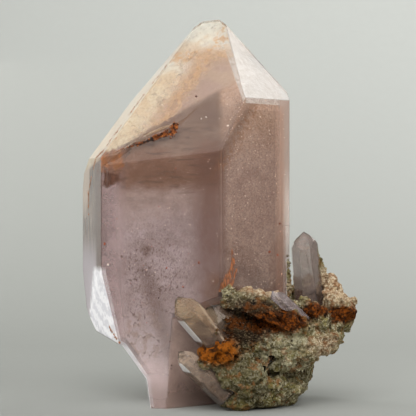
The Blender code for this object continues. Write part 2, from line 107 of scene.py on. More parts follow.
class Recipe:
    """A material being mixed. Each method adds a node and gives back its output."""

    def __init__(self, name):
        self.material = bpy.data.materials.new(name)
        self.material.use_nodes = True
        self.tree = self.material.node_tree
        self.shader = self.tree.nodes["Principled BSDF"]
        self.output = self.tree.nodes["Material Output"]
        here = self.node("TexCoord", "Object")
        from_datum = self.vector("SUBTRACT", here, DATUM)
        self.place = self.vector("MULTIPLY", from_datum, (1 / MM, 1 / MM, 1 / MM))
        self.x, self.y, self.z = self.parts(self.place)

    def feed(self, socket, value):
        if isinstance(value, bpy.types.NodeSocket):
            self.tree.links.new(value, socket)
        else:
            socket.default_value = value

    def node(self, kind, result, inputs=(), **settings):
        """Adds a node, feeds its inputs by number or name, and gives back one of its outputs."""
        node = self.tree.nodes.new("ShaderNode" + kind)
        for name, value in settings.items():
            setattr(node, name, value)
        for key, value in dict(inputs).items():
            self.feed(node.inputs[key], value)
        return node.outputs[result]

    def vector(self, operation, first, second):
        result = "Value" if operation in ("DOT_PRODUCT", "LENGTH") else "Vector"
        return self.node("VectorMath", result, {0: first, 1: second}, operation=operation)

    def sum(self, operation, first, second):
        return self.node("Math", 0, {0: first, 1: second}, operation=operation)

    def parts(self, vector):
        """A vector's X, Y and Z."""
        apart = self.tree.nodes.new("ShaderNodeSeparateXYZ")
        self.feed(apart.inputs[0], vector)
        return apart.outputs

    def both(self, *masks):
        result = masks[0]
        for mask in masks[1:]:
            result = self.sum("MULTIPLY", result, mask)
        return result

    def either(self, *masks):
        result = masks[0]
        for mask in masks[1:]:
            result = self.sum("MAXIMUM", result, mask)
        return result

    def rises(self, value, start, end):
        """0 below start and 1 above end, with a smooth step between. With start above end it falls."""
        inputs = {"Value": value, "From Min": start, "From Max": end}
        return self.node("MapRange", "Result", inputs, interpolation_type="SMOOTHSTEP")

    def span(self, value, start, full, fade, end):
        """Rises from 0 at start to 1 at full, and falls again from fade to end."""
        return self.both(self.rises(value, start, full), self.rises(value, end, fade))

    def swing(self, value, reach):
        """A noise from 0 to 1 as a swing around zero, reach wide."""
        return self.sum("MULTIPLY", self.sum("SUBTRACT", value, 0.5), reach)

    def beyond(self, point, normal, start, end):
        """Rises across a plane given in millimetres from the datum, by the distance outside it."""
        along = self.vector("DOT_PRODUCT", self.place, tuple(normal))
        offset = Vector(point).dot(Vector(normal))
        return self.rises(along, offset + start, offset + end)

    def band(self, point, normal, start, full, fade, end):
        """A band along a plane, by the distance outside it: it rises to full and falls from fade."""
        return self.both(self.beyond(point, normal, start, full), self.beyond(point, normal, end, fade))

    def facing(self, azimuth, rise, start, end):
        """Rises where the surface turns towards a direction, by the cosine between them."""
        normal = self.node("NewGeometry", "Normal")
        towards = self.vector("DOT_PRODUCT", normal, tuple(outward(azimuth, rise)))
        return self.rises(towards, start, end)

    def blob(self, middle, half, soft=0.35, wander=0.0):
        """1 inside an ellipsoid and 0 outside it. wander makes its edge ragged."""
        here = self.place
        if wander:
            here = self.vector("ADD", here, self.vector("MULTIPLY", self.swirl(0.9), (wander,) * 3))
        offset = self.vector("SUBTRACT", here, middle)
        length = self.vector("LENGTH", self.vector("DIVIDE", offset, half), (0, 0, 0))
        return self.rises(length, 1 + soft, 1 - soft)

    def swirl(self, scale):
        """A noise vector around zero."""
        inputs = {"Vector": self.place, "Scale": scale, "Detail": 3.0}
        return self.vector("SUBTRACT", self.node("TexNoise", "Color", inputs), (0.5, 0.5, 0.5))

    def noise(self, scale, detail=4.0, stretch=(1, 1, 1), rough=0.5):
        """Noise from 0 to 1. A scale of 1 has features about 1 mm across."""
        place = self.vector("MULTIPLY", self.place, stretch)
        inputs = {"Vector": place, "Scale": scale, "Detail": detail, "Roughness": rough}
        return self.node("TexNoise", "Fac", inputs)

    def cells(self, scale, result="Distance"):
        """Angular grains: the distance to the middle of a grain, or with Color a number of its own."""
        return self.node("TexVoronoi", result, {"Vector": self.place, "Scale": scale})

    def box(self, low, high, soft):
        """1 inside an upright box in X and Z with ragged soft sides."""
        wander = self.vector("MULTIPLY", self.swirl(0.8), (4.0, 0, 4.0))
        x, _, z = self.parts(self.vector("ADD", self.place, wander))
        return self.both(
            self.span(x, low[0] - soft, low[0] + soft, high[0] - soft, high[0] + soft),
            self.span(z, low[1] - soft, low[1] + soft, high[1] - soft, high[1] + soft),
        )

    def mix(self, mask, low, high):
        return self.node("Mix", 2, {0: mask, 6: low, 7: high}, data_type="RGBA")

    def layers(self, base, *rows):
        """Lays colours over a base, each through its own mask, the last on top."""
        colour = base
        for mask, over in rows:
            colour = self.mix(mask, colour, over)
        return colour

    def relief(self, height, depth, normal=None):
        inputs = {"Strength": 1.0, "Distance": depth * MM, "Height": height}
        if normal is not None:
            inputs["Normal"] = normal
        return self.node("Bump", "Normal", inputs)

    def set(self, **plain):
        """Types values into the shader's sockets: Base_Color=..., Roughness=..."""
        for name, value in plain.items():
            self.feed(self.shader.inputs[name.replace("_", " ")], value)
        return self.material

    def absorb(self, colour, density):
        """Fills the inside with plain absorption. Blender counts its density per metre."""
        volume = self.node("VolumeAbsorption", "Volume", {"Color": colour, "Density": density})
        self.feed(self.output.inputs["Volume"], volume)
        return self.material


print("recipe helper ready")

# %% [markdown]
# ## Making shapes
#
# Crystals have flat faces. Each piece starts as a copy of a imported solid, cleaned of the triangles that the
# file format cuts flat faces into, and its edges are worn a little.

# %% Helpers for meshes


def add_object(name, data):
    """Puts a mesh, a camera or a lamp into the scene."""
    thing = bpy.data.objects.new(name, data)
    bpy.context.scene.collection.objects.link(thing)
    return thing


def new_piece(name, shape, finish, body="root"):
    """Turns a bmesh into an object of the specimen."""
    mesh = bpy.data.meshes.new(name)
    shape.to_mesh(mesh)
    shape.free()
    piece = add_object(name, mesh)
    mesh.materials.append(finish)
    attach(piece, body)
    print(name, "has", len(mesh.polygons), "faces")
    return piece


def solid_of(node):
    """The node's mesh as a bmesh, with its corners joined."""
    shape = bmesh.new()
    shape.from_mesh(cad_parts[node].data)
    bmesh.ops.remove_doubles(shape, verts=shape.verts[:], dist=0.001 * MM)
    return shape


def make_faces_whole(shape):
    bmesh.ops.dissolve_limit(
        shape, angle_limit=math.radians(0.6), verts=shape.verts[:], edges=shape.edges[:]
    )
    bmesh.ops.recalc_face_normals(shape, faces=shape.faces[:])
    return shape


def copy_of(node):
    """The node's mesh as a bmesh with its flat faces whole again."""
    return make_faces_whole(solid_of(node))


def shrink(shape, depth):
    """Sets every face in by a depth in millimetres."""
    shape.normal_update()
    moves = [vertex.normal * vertex.calc_shell_factor() * depth * MM for vertex in shape.verts]
    for vertex, move in zip(shape.verts, moves):
        vertex.co -= move
    return shape


def soften_edges(piece, width, segments=2):
    """Real crystal edges are a hair's breadth round, which is what makes them catch the light.

    Only edges that stick out are rounded, not the seams where two crystals meet.
    """
    shape = bmesh.new()
    shape.from_mesh(piece.data)
    weight = shape.edges.layers.float.new("bevel_weight_edge")
    for edge in shape.edges:
        if edge.is_convex and edge.calc_face_angle(0.0) > math.radians(12):
            edge[weight] = 1.0
    shape.to_mesh(piece.data)
    shape.free()
    step = piece.modifiers.new("worn edges", "BEVEL")
    step.width = width * MM
    step.segments = segments
    step.limit_method = "WEIGHT"


print("mesh helpers ready")

# %% [markdown]
# ## The studio
#
# The specimen stands on a pale table that sweeps up behind it. The camera is level with the middle of the
# crystal and far away, with a long lens, as mineral photographers work, so that upright edges stay upright.

# %% Table and backdrop
LENS_MM = 150.0
SENSOR_MM = 36.0
CAMERA_PLACE = (-1.65, -247.5, 28.95)
TABLE_HALF_WIDTH = 900.0
TABLE_FRONT = -500.0
SWEEP_START = 120.0
SWEEP_RADIUS = 260.0
SWEEP_STEPS = 24
WALL_TOP = 900.0
# How pale the paper is: a share at the table, more per millimetre to the right, and more with the height.
PAPER_SHARE = 0.147
PAPER_ACROSS = 0.0019
PAPER_RISE = 0.0367
PAPER_CURVE = 0.64


def sweep_profile():
    """The line of the table from front to back: flat, a quarter circle, and a wall."""
    points = [(TABLE_FRONT, 0.0)]
    for step in range(SWEEP_STEPS + 1):
        angle = math.radians(90 * step / SWEEP_STEPS)
        points.append(
            (SWEEP_START + SWEEP_RADIUS * math.sin(angle), SWEEP_RADIUS * (1 - math.cos(angle)))
        )
    points.append((SWEEP_START + SWEEP_RADIUS, WALL_TOP))
    return points


def backdrop_finish():
    """Grey paper that is paler high up and to the right, as light falls off across a real one."""
    mixed = Recipe("backdrop_paper")
    across = mixed.sum("MULTIPLY", mixed.x, PAPER_ACROSS)
    rise = mixed.sum("POWER", mixed.sum("MAXIMUM", mixed.z, 0.0), PAPER_CURVE)
    pale = mixed.sum("ADD", mixed.sum("MULTIPLY", rise, PAPER_RISE), mixed.sum("ADD", across, PAPER_SHARE))
    pale = mixed.sum("MINIMUM", mixed.sum("MAXIMUM", pale, 0.0), 1.0)
    grain = mixed.both(mixed.noise(0.4, 2.0), 0.1)
    colour = mixed.mix(pale, paint(143, 144, 139), paint(218, 220, 215))
    colour = mixed.layers(colour, (grain, paint(176, 177, 173)))
    return mixed.set(Base_Color=colour, Roughness=0.9, Specular_IOR_Level=0.1)


def build_stage():
    shape = bmesh.new()
    rows = []
    for y, z in sweep_profile():
        left = shape.verts.new(at(-TABLE_HALF_WIDTH, y, z))
        right = shape.verts.new(at(TABLE_HALF_WIDTH, y, z))
        rows.append((left, right))
    for (left, right), (next_left, next_right) in zip(rows, rows[1:]):
        shape.faces.new((left, right, next_right, next_left))
    mesh = bpy.data.meshes.new("table_and_backdrop")
    shape.to_mesh(mesh)
    shape.free()
    mesh.shade_smooth()
    stage = add_object("table_and_backdrop", mesh)
    mesh.materials.append(backdrop_finish())


build_stage()
print("stage built")

# %% Camera


def build_camera():
    data = bpy.data.cameras.new("camera")
    data.lens = LENS_MM
    data.sensor_width = SENSOR_MM
    data.clip_start = 0.01
    data.clip_end = 10.0
    camera = add_object("camera", data)
    camera.location = at(*CAMERA_PLACE)
    camera.rotation_euler = (math.radians(90), 0, 0)
    bpy.context.scene.camera = camera


build_camera()
bpy.context.scene.view_settings.view_transform = "Standard"
print("camera at", CAMERA_PLACE)

# %% [markdown]
# ## Light
#
# A soft box high on the right and a little behind mirrors in the small right-hand tip face and turns it
# white. Another stands low behind the left and lights the broken facet at the foot, and a faint cream card
# behind mirrors in the narrow left side. The rest is soft and even, so that the haze inside the crystal
# glows instead of glittering.

# %% Lamps
MIDDLE = (-4.0, 10.0, 28.0)
WHITE_LIGHT = (1.0, 1.0, 1.0)
CREAM_LIGHT = (1.0, 0.94, 0.85)
ROOM_COLOUR = (0.78, 0.80, 0.79, 1.0)
ROOM_STRENGTH = 0.35
# Name, direction from the specimen, distance, width and height in millimetres, watts and colour.
SOFT_BOXES = [
    ("tip_mirror_box", (0.618, 0.373, 0.692), 330, 190, 190, 0.27, WHITE_LIGHT),
    ("foot_mirror_box", (-0.72, 0.62, 0.10), 300, 110, 190, 0.60, WHITE_LIGHT),
    ("left_fill", (-1.0, -0.25, -0.02), 300, 160, 200, 0.18, WHITE_LIGHT),
    ("left_edge_card", (-0.301, 0.922, 0.245), 300, 70, 60, 0.004, CREAM_LIGHT),
    ("overhead_box", (-0.15, -0.35, 1.0), 420, 420, 420, 0.45, WHITE_LIGHT),
    ("front_fill", (-0.10, -1.0, 0.80), 620, 460, 340, 2.4, WHITE_LIGHT),
    ("right_fill", (0.80, -0.80, 0.55), 500, 260, 260, 0.55, WHITE_LIGHT),
]


def softbox(name, direction, distance, width, height, power, colour):
    """A rectangular soft box that looks at the middle of the specimen."""
    data = bpy.data.lights.new(name, "AREA")
    data.shape = "RECTANGLE"
    data.size, data.size_y = width * MM, height * MM
    data.energy = power
    data.color = colour
    lamp = add_object(name, data)
    aim = Vector(direction).normalized()
    lamp.location = at(*MIDDLE) + aim * distance * MM
    lamp.rotation_mode = "QUATERNION"
    lamp.rotation_quaternion = (-aim).to_track_quat("-Z", "Y")


def build_lights():
    for row in SOFT_BOXES:
        softbox(*row)
    world = bpy.data.worlds.new("soft_room")
    bpy.context.scene.world = world
    world.use_nodes = True
    world.node_tree.nodes["Background"].inputs["Color"].default_value = ROOM_COLOUR
    world.node_tree.nodes["Background"].inputs["Strength"].default_value = ROOM_STRENGTH


build_lights()
print("lights built:", len(SOFT_BOXES))

# %% [markdown]
# ## The clear skin
#
# Quartz bends light by 1.544 and is clear, with the faintest lilac from traces of iron. The skin is the
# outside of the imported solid, with worn edges; the pocket that the solid keeps for the phantom is closed,
# because clear stone has no gap there. It lets lamps through without a shadow, so that its inside is lit.

# %% Clear amethyst
QUARTZ_IOR = 1.544
# Corners this near the phantom belong to its pocket, and those this near the table to the base.
POCKET_REACH = 0.75
BASE_REACH = 0.02
SKIN_WEAR = 0.07


def clear_amethyst():
    mixed = Recipe("clear_amethyst")
    hillocks = mixed.noise(0.35, 2.0)
    pits = mixed.noise(7.0, 3.0)
    normal = mixed.relief(hillocks, 0.02, mixed.relief(pits, 0.003))
    mixed.set(
        Base_Color=(1.0, 0.985, 0.975, 1.0),
        Roughness=0.05,
        IOR=QUARTZ_IOR,
        Transmission_Weight=1.0,
        Normal=normal,
    )
    return mixed.absorb((0.86, 0.78, 0.82, 1.0), 8.0)


def outer_skin():
    """The point's outside alone, with a whole base."""
    core = BVHTree.FromBMesh(solid_of("phantom"))
    shape = solid_of("amethyst_point")
    pocket = {
        vertex for vertex in shape.verts if core.find_nearest(vertex.co)[3] < POCKET_REACH * MM
    }
    lost = [face for face in shape.faces if all(vertex in pocket for vertex in face.verts)]
    on_base = [
        face for face in shape.faces
        if all(vertex.co.z < BASE_REACH * MM for vertex in face.verts) and face not in lost
    ]
    bmesh.ops.delete(shape, geom=lost + on_base, context="FACES")
    rim = [edge for edge in shape.edges if edge.is_boundary]
    bmesh.ops.edgeloop_fill(shape, edges=rim)
    return make_faces_whole(shape)


AMETHYST_SKIN = clear_amethyst()


def build_skin():
    skin = new_piece("amethyst_skin", outer_skin(), AMETHYST_SKIN)
    soften_edges(skin, SKIN_WEAR)
    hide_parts("amethyst_point")
    skin.visible_shadow = False


build_skin()

# %% [markdown]
# ## The phantom
#
# When the crystal was younger it was smoky and its faces were dusted with iron. Later quartz grew over it.
# The imported solid gives its faces. Its colours follow the growth: rose above the skeletal ledge, grey and
# then brown in a band below it, lavender in the body. Brown marks lie on it: a sunken window, a smudge,
# healed cracks and stains. Its shoulders end in a cloud, so they fade into noise. Some colour is painted
# light and shade: the foot and the facets by the rock are painted paler where less light reaches them, the
# base darker, and the whole a little darker against the light that bounces in the clear skin.

# %% The young crystal's colours
# The azimuth of the left front face and the slope of the tip faces, in degrees.
FRONT_TURN = -15.4
RHOMB_RISE = 38.2
# The foot of the phantom's axis, and how far out its left shoulder lies.
AXIS_FOOT = (-4.8, 12.5, 0.0)
LEFT_SHOULDER = 30.5
# A point on the skeletal ledge, and the way it faces.
LEDGE_POINT = (3.3, 0.0, 47.1)
LEDGE_NORMAL = (-0.476, 0.0, 0.880)
# How much the phantom's colour is darkened all over, as painted shade against the light that bounces in the
# clear skin, and how round its edges are.
BOUNCE_SHADE = 0.31
PHANTOM_WEAR = 0.8
# Two corners (x, z) of the sunken window and of the stain over it.
WINDOW = ((-16.8, 32.1), (-14.2, 34.5))
CORNER = ((-17.3, 34.6), (-13.8, 37.2))
WINDOW_SOFT = 0.4
# The middle and half size of the other marks.
BY_FLAME = ((-0.2, 0.4, 16.8), (3.0, 4.0, 2.6))
SMUDGE = ((-10.5, 3.8, 22.7), (0.9, 2.0, 0.8))
FOOT_CLOUDS = ((-12.0, 3.0, 9.5), (5.0, 6.0, 6.5))
HEALED_CRACKS = ((-10.5, 3.5, 15.0), (7.5, 7.0, 9.5))
FLECKS = ((-9.6, 3.6, 20.5), (5.4, 5.0, 6.0))
UNDER_LEDGE = ((-2.0, 2.0, 42.6), (4.5, 5.0, 1.9))
# A point and a normal of the stain by the right face's edge, and of the dull streak low in the body.
EDGE_STAIN = ((4.0, 0.0, 43.4), (0.885, 0.0, -0.466))
STREAK = ((-9.6, 0.0, 16.2), (0.951, 0.0, 0.308))
# The height at which each zone of the body starts and is full, and its deep and pale tones.
GROWTH_ZONES = [
    (8, 16, paint(156, 133, 128), paint(199, 179, 178)),
    (25, 31, paint(160, 134, 124), paint(190, 166, 158)),
    (30.5, 33, paint(122, 86, 66), paint(146, 112, 94)),
    (36.5, 38.5, paint(126, 98, 82), paint(150, 124, 108)),
]


def shoulder_plane():
    """The phantom's left tip face: a point on it in millimetres, and its normal."""
    normal = outward(FRONT_TURN - 60, RHOMB_RISE)
    return Vector(AXIS_FOOT) + normal * LEFT_SHOULDER, normal


def past_shoulder(mixed, ragged):
    """How far a place lies outside the shoulder's face, in millimetres, plus a ragged swing."""
    point, normal = shoulder_plane()
    along_normal = mixed.vector("DOT_PRODUCT", mixed.place, tuple(normal))
    return mixed.sum("SUBTRACT", mixed.sum("ADD", along_normal, ragged), point.dot(normal))


def body_shade(mixed):
    """Mottling from 0 to 1: clouds, patches and grain."""
    clouds = mixed.rises(mixed.noise(0.20, 5.0, (1, 1, 1.6)), 0.38, 0.62)
    patches = mixed.rises(mixed.noise(0.75, 6.0, rough=0.6), 0.36, 0.64)
    grain = mixed.rises(mixed.noise(2.6, 4.0, (1, 1, 1.5), rough=0.7), 0.34, 0.66)
    shade = mixed.sum("ADD", mixed.both(clouds, 0.40), mixed.both(patches, 0.32))
    return mixed.sum("ADD", shade, mixed.both(grain, 0.28))


def growth_zones(mixed, height, shade):
    """The body's colours by height on the left of the front edge, mottled between a deep and a pale tone.
    Below the first zone the tones are painted paler, as painted light for the foot, which gets less light.
    """
    # Painted light: these foot tones are paler because the foot gets less light.
    deep, pale = paint(198, 180, 177), paint(214, 196, 194)
    for start, full, deep_tone, pale_tone in GROWTH_ZONES:
        zone = mixed.rises(height, start, full)
        deep = mixed.mix(zone, deep, deep_tone)
        pale = mixed.mix(zone, pale, pale_tone)
    return mixed.mix(shade, deep, pale)


def brown_marks(mixed, colour):
    """The sunken window, the smudge, healed cracks, bands and the stain along the right face's edge."""
    lines = mixed.sum("ABSOLUTE", mixed.sum("SUBTRACT", mixed.noise(0.42, 4.0), 0.5), 0.0)
    patches = mixed.rises(mixed.noise(2.4, 2.0), 0.42, 0.58)
    healed = mixed.both(mixed.rises(lines, 0.022, 0.005), mixed.blob(*HEALED_CRACKS, 0.5), patches, 0.8)
    flecks = mixed.both(
        mixed.rises(mixed.noise(3.4, 3.0, (1.3, 1.3, 0.8)), 0.57, 0.63), mixed.blob(*FLECKS, 0.6, 2.0), 0.7
    )
    foot_clouds = mixed.both(
        mixed.rises(mixed.noise(0.9, 5.0, rough=0.65), 0.48, 0.62), mixed.blob(*FOOT_CLOUDS, 0.5, 2.0), 0.5
    )
    streak = mixed.both(mixed.band(*STREAK, -1.8, -0.2, 0.2, 2.0), mixed.rises(mixed.z, 23.5, 19.0), 0.5)
    under_ledge = mixed.both(mixed.blob(*UNDER_LEDGE, 0.6, 2.4), mixed.rises(mixed.x, 3.0, 1.0), 0.6)
    bands = mixed.both(
        mixed.rises(mixed.noise(0.8, 5.0, (0.35, 0.35, 2.4), rough=0.65), 0.50, 0.64),
        mixed.span(mixed.z, 29.0, 33.0, 40.0, 43.0),
        mixed.rises(mixed.x, 1.0, -1.0),
        0.6,
    )
    stain = mixed.both(
        mixed.band(*EDGE_STAIN, -0.6, 0.4, 0.4, 2.4),
        mixed.rises(mixed.z, 32.0, 36.5),
        mixed.rises(mixed.noise(1.6, 5.0, rough=0.65), 0.44, 0.60),
        0.75,
    )
    dark_side = mixed.both(
        mixed.band(*EDGE_STAIN, -2.4, -0.4, -0.2, 1.2), mixed.rises(mixed.z, 31.0, 37.0), 0.55
    )
    by_flame = mixed.both(mixed.blob(*BY_FLAME, 0.4, 1.6), mixed.rises(mixed.x, -4.0, 0.0), 0.7)
    return mixed.layers(
        colour,
        (by_flame, paint(116, 72, 36)),
        (bands, paint(92, 68, 56)),
        (streak, paint(116, 90, 80)),
        (mixed.both(mixed.blob(*SMUDGE, 0.5, 2.2), 0.6), paint(110, 80, 64)),
        (foot_clouds, paint(158, 128, 112)),
        (healed, paint(98, 72, 62)),
        (flecks, paint(104, 74, 61)),
        (under_ledge, paint(104, 78, 66)),
        (mixed.both(mixed.box(*WINDOW, WINDOW_SOFT), 0.85), paint(94, 60, 44)),
        (dark_side, paint(104, 74, 60)),
        (stain, paint(150, 100, 62)),
    )


def foot_facets(mixed):
    """The two facets by the rock, which stand in its shade: the upright one and the one that faces down."""
    shaded = mixed.both(mixed.facing(38, -4, 0.90, 0.97), mixed.rises(mixed.z, 15.0, 13.0))
    under = mixed.both(mixed.facing(30, -62, 0.85, 0.95), mixed.rises(mixed.z, 18.5, 17.0))
    return shaded, under


def foot_light_and_shade(mixed):
    """Painted light and shade at the foot: the facets in the rock's shade painted lighter, and the base
    painted darker.
    """
    shaded, under = foot_facets(mixed)
    return (
        # Painted light: the facets in the rock's shade are painted lighter.
        (shaded, mixed.mix(body_shade(mixed), paint(166, 142, 132), paint(202, 178, 166))),
        (under, paint(204, 164, 142)),
        # Painted shade: the base is darker.
        (mixed.both(mixed.rises(mixed.z, 6.5, 0.5), 0.65), paint(122, 98, 88)),
    )


def phantom_finish():
    mixed = Recipe("phantom_haze")
    clouds = mixed.noise(0.20, 5.0, (1, 1, 1.6))
    mottle = mixed.noise(0.75, 6.0, rough=0.6)
    dust = mixed.rises(mixed.noise(3.4, 3.0), 0.58, 0.70)
    height = mixed.sum("ADD", mixed.z, mixed.swing(clouds, 6.0))
    grain = mixed.rises(mixed.noise(2.6, 4.0, (1, 1, 1.5), rough=0.7), 0.34, 0.66)
    shade = body_shade(mixed)

    left = growth_zones(mixed, height, shade)
    by_edge = mixed.both(
        mixed.rises(mixed.sum("ADD", mixed.x, mixed.both(clouds, 2.0)), -4.4, -0.6),
        mixed.span(mixed.z, 8.0, 24.0, 35.0, 40.0),
        0.85,
    )
    left = mixed.layers(left, (by_edge, paint(117, 82, 68)))
    right = mixed.layers(
        paint(112, 84, 74),
        (mixed.rises(height, 14, 28), paint(162, 130, 116)),
        (mixed.rises(height, 34, 44), paint(186, 148, 119)),
        (mixed.both(shade, 0.6), paint(212, 184, 167)),
        (mixed.both(mixed.rises(grain, 0.5, 0.1), 0.35), paint(118, 88, 74)),
    )
    body = brown_marks(mixed, mixed.mix(mixed.rises(mixed.x, -0.2, 1.0), left, right))

    rim = mixed.either(mixed.beyond(*shoulder_plane(), -3.0, -1.2), mixed.rises(mixed.z, 49.4, 51.4))
    band = mixed.both(rim, mixed.rises(mottle, 0.36, 0.54))
    slope = mixed.layers(
        paint(182, 152, 138),
        (mixed.rises(clouds, 0.40, 0.60), paint(192, 164, 142)),
        (mixed.both(mixed.rises(grain, 0.4, 0.8), 0.35), paint(206, 182, 160)),
        (mixed.both(band, 0.6), paint(188, 154, 112)),
        (mixed.both(band, dust), paint(132, 82, 40)),
    )
    above = mixed.beyond(LEDGE_POINT, LEDGE_NORMAL, -0.3, 0.6)
    above = mixed.both(above, mixed.rises(mixed.x, 3.6, 2.6))
    colour = mixed.mix(above, body, slope)
    colour = mixed.layers(colour, *foot_light_and_shade(mixed), (mixed.both(dust, 0.22), paint(104, 74, 58)))
    # Painted shade: the whole colour is darkened against the light that bounces in the clear skin.
    colour = mixed.mix(BOUNCE_SHADE, colour, paint(0, 0, 0))

    ragged = mixed.swing(mottle, 2.4)
    solid_left = mixed.rises(past_shoulder(mixed, ragged), 0.5, -0.4)
    solid_top = mixed.rises(mixed.sum("ADD", mixed.z, ragged), 53.6, 52.6)
    solid_parts = mixed.sum("MINIMUM", solid_left, solid_top)
    return mixed.set(
        Base_Color=colour,
        Roughness=0.6,
        Specular_IOR_Level=0.1,
        Alpha=mixed.both(solid_parts, 0.97),
    )


def build_phantom():
    phantom = new_piece("phantom_haze", copy_of("phantom"), phantom_finish())
    soften_edges(phantom, PHANTOM_WEAR, 5)
    phantom.data.shade_smooth()
    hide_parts("phantom")


build_phantom()

# %% [markdown]
# ## Milk in the outer growth
#
# The quartz that grew over the phantom isn't quite clear. Two thin veils hang between the skin and the
# phantom: cream near the tip, grey lilac down the sides, and white where the foot broke, which is painted
# reflection. Each point of a veil lies part of the way from the skin to the phantom, so the veils keep the
# crystal's form. The outer one is just under the skin and the inner one about half way.

# %% Veils
VEIL_PLACES = {"outer_veil": 0.08, "inner_veil": 0.55}
VEIL_STRENGTH = 0.85
# The broken facets' directions, the far side of the break, and the middle of its ripples.
BROKEN_FACETS = [(-66, -11.6), (-92, -29)]
BREAK_SIDE = (1.0, 0.0, -0.114)
RIPPLE_MIDDLE = (-12.5, 6.0, 20.5)


def broken_foot(mixed, mottle):
    """Where the foot broke, with a ragged margin."""
    facets = mixed.either(*[mixed.facing(azimuth, rise, 0.90, 0.96) for azimuth, rise in BROKEN_FACETS])
    ragged = mixed.swing(mottle, 1.2)
    side = mixed.sum("ADD", mixed.vector("DOT_PRODUCT", mixed.place, BREAK_SIDE), ragged)
    low = mixed.rises(mixed.sum("ADD", mixed.z, ragged), 20.6, 19.6)
    return mixed.both(facets, low, mixed.rises(side, -21.1, -20.6))


def side_milk(mixed, streaks):
    """Brown streaks down the crystal's left side, lilac at its foot and cream by the outline."""
    colour = mixed.mix(streaks, paint(80, 58, 48), paint(128, 108, 96))
    outer_strip = mixed.both(mixed.rises(mixed.x, -19.2, -19.6), mixed.rises(mixed.z, 26.0, 31.0), 0.8)
    return mixed.layers(
        colour,
        (mixed.rises(mixed.z, 26.0, 20.0), paint(170, 160, 166)),
        (mixed.rises(mixed.x, -18.4, -17.7), paint(80, 38, 18)),
        (outer_strip, paint(194, 176, 156)),
    )


